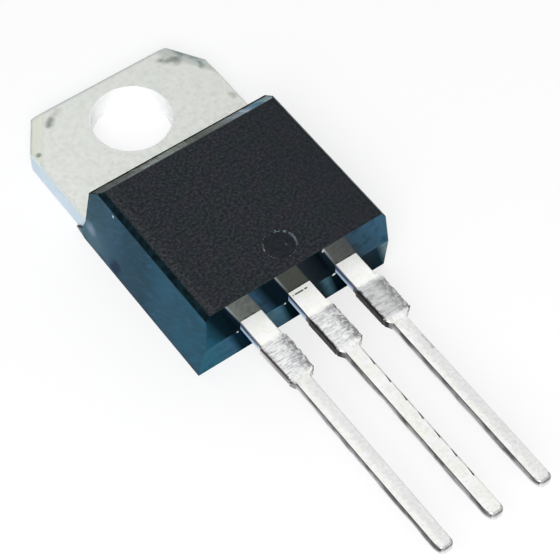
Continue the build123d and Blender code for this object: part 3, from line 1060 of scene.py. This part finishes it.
build_moulding()
build_spreader()
lead_material = tinned_lead()
build_lead("terminal_a1", "lead_a1", lead_material, seed=1.7, bend=-0.08, flare=0.06, waist=0.1)
build_lead("terminal_a2", "lead_a2", lead_material, seed=4.8, bend=-0.03, flare=0.09, waist=0.03)
build_lead("terminal_gate", "lead_gate", lead_material, seed=7.9, bend=-0.045, flare=0.13, waist=0.03)

# ---------------------------------------------------------------- buried nodes
solder = plain_metal("solder_joint", tone(176, 178, 182), tone(146, 149, 154), 0.38, 0.006)
foil = plain_metal("copper_foil_bright", tone(224, 148, 108), tone(196, 118, 84), 0.3, 0.002)
clip = plain_metal("copper_clip_formed", tone(216, 138, 98), tone(184, 106, 74), 0.34, 0.003)
buried = {
    "spreader_solder": solder,
    "paddle_solder": solder,
    "die_solder": solder,
    "a1_post_solder": solder,
    "gate_post_solder": solder,
    "a1_die_joint": solder,
    "gate_die_joint": solder,
    "insulator_base_foil": foil,
    "insulator_top_foil": foil,
    "a1_clip": clip,
    "gate_clip": clip,
    "insulator_tile": alumina(),
    "triac_die": silicon(),
}
for node, material in buried.items():
    for place in nodes[node].material_slots:
        place.material = material


# ---------------------------------------------------------------- stage, light and camera
FLOOR_HALF = 1.5  # metres
FLOOR_GLOW = 0.68
SKY_LOW, SKY_HIGH = 0.15, 0.8  # where the sky starts and stops brightening
LAMP_AIM = Vector((0, -8, 0)) * MM
CAMERA_AIM = Vector((-0.0703, -11.7941, 2.0)) * MM
CAMERA_DISTANCE = 87.440 * MM
CAMERA_AZIMUTH, CAMERA_ELEVATION, CAMERA_ROLL = (math.radians(a) for a in (-37.325, 55.591, 1.322))
CAMERA_LENS, CAMERA_SENSOR = 128.75786, 36.0  # millimetres


def build_floor():
    """White paper floor: part of its white is its own, so that the shadow stays faint."""
    g = Graph("studio_floor", roughness=0.9, specular=0.0)
    g.colour(g.mix(g.span(g.noise(0.03, 2.0), 0.3, 0.7), level(0.93), level(0.95)))
    path = g.node("ShaderNodeLightPath").outputs
    seen = g.most(path["Is Camera Ray"], path["Is Glossy Ray"], path["Is Transmission Ray"])
    glow = g.node("ShaderNodeEmission", {"Strength": 1.0}).outputs[0]
    share = g.times(seen, FLOOR_GLOW)
    paper = g.node("ShaderNodeMixShader", {0: share, 1: g.shader.outputs[0], 2: glow})
    g.put(g.output.inputs["Surface"], paper.outputs[0])
    shape = bmesh.new()
    bmesh.ops.create_grid(shape, x_segments=8, y_segments=8, size=FLOOR_HALF)
    mesh = bpy.data.meshes.new("studio_floor")
    shape.to_mesh(mesh)
    shape.free()
    mesh.materials.append(g.material)
    floor = bpy.data.objects.new("studio_floor", mesh)
    bpy.context.scene.collection.objects.link(floor)


def soft_box(name, direction, distance, size, radiance):
    """Square area lamp aimed at the object, in metres, given by the light its face sends out."""
    data = bpy.data.lights.new(name, "AREA")
    data.shape = "SQUARE"
    data.size = size
    data.energy = radiance * math.pi * size * size
    lamp = bpy.data.objects.new(name, data)
    bpy.context.scene.collection.objects.link(lamp)
    towards = Vector(direction).normalized()
    lamp.location = LAMP_AIM + towards * distance
    lamp.rotation_euler = towards.to_track_quat("Z", "Y").to_euler()


def light_world(horizon, zenith, colour):
    """Studio room: dim at eye level, bright overhead."""
    world = bpy.data.worlds.new("studio_world")
    world.use_nodes = True
    tree = world.node_tree
    background = tree.nodes["Background"]
    background.inputs["Color"].default_value = (*colour, 1)
    direction = tree.nodes.new("ShaderNodeTexCoord")
    split = tree.nodes.new("ShaderNodeSeparateXYZ")
    rise = tree.nodes.new("ShaderNodeMapRange")
    rise.interpolation_type = "SMOOTHSTEP"
    for index, value in enumerate((SKY_LOW, SKY_HIGH, horizon, zenith), start=1):
        rise.inputs[index].default_value = value
    tree.links.new(direction.outputs["Generated"], split.inputs[0])
    tree.links.new(split.outputs[2], rise.inputs[0])
    tree.links.new(rise.outputs[0], background.inputs["Strength"])
    bpy.context.scene.world = world


def place_camera():
    """Camera that looks down on the object from over its lead end's -X corner."""
    flat = math.cos(CAMERA_ELEVATION)
    rise = math.sin(CAMERA_ELEVATION)
    back = Vector((math.sin(CAMERA_AZIMUTH) * flat, -math.cos(CAMERA_AZIMUTH) * flat, rise))
    right = Vector((math.cos(CAMERA_AZIMUTH), math.sin(CAMERA_AZIMUTH), 0))
    up = back.cross(right)
    tilted_right = right * math.cos(CAMERA_ROLL) + up * math.sin(CAMERA_ROLL)
    tilted_up = up * math.cos(CAMERA_ROLL) - right * math.sin(CAMERA_ROLL)
    data = bpy.data.cameras.new("camera")
    data.sensor_width = CAMERA_SENSOR
    data.lens = CAMERA_LENS
    data.clip_start = 0.002
    data.clip_end = 20.0
    camera = bpy.data.objects.new("camera", data)
    bpy.context.scene.collection.objects.link(camera)
    axes = Matrix((tilted_right, tilted_up, back)).transposed().to_4x4()
    camera.matrix_world = Matrix.Translation(CAMERA_AIM + back * CAMERA_DISTANCE) @ axes
    bpy.context.scene.camera = camera


build_floor()
light_world(horizon=0.13, zenith=0.42, colour=(0.98, 0.99, 1.0))
soft_box("top_box", (0.35, 0.44, 0.83), distance=0.26, size=0.28, radiance=0.62)
soft_box("front_box", (-0.45, -0.55, 0.70), distance=0.25, size=0.16, radiance=6.8)
place_camera()
bpy.context.scene.view_settings.view_transform = "Standard"
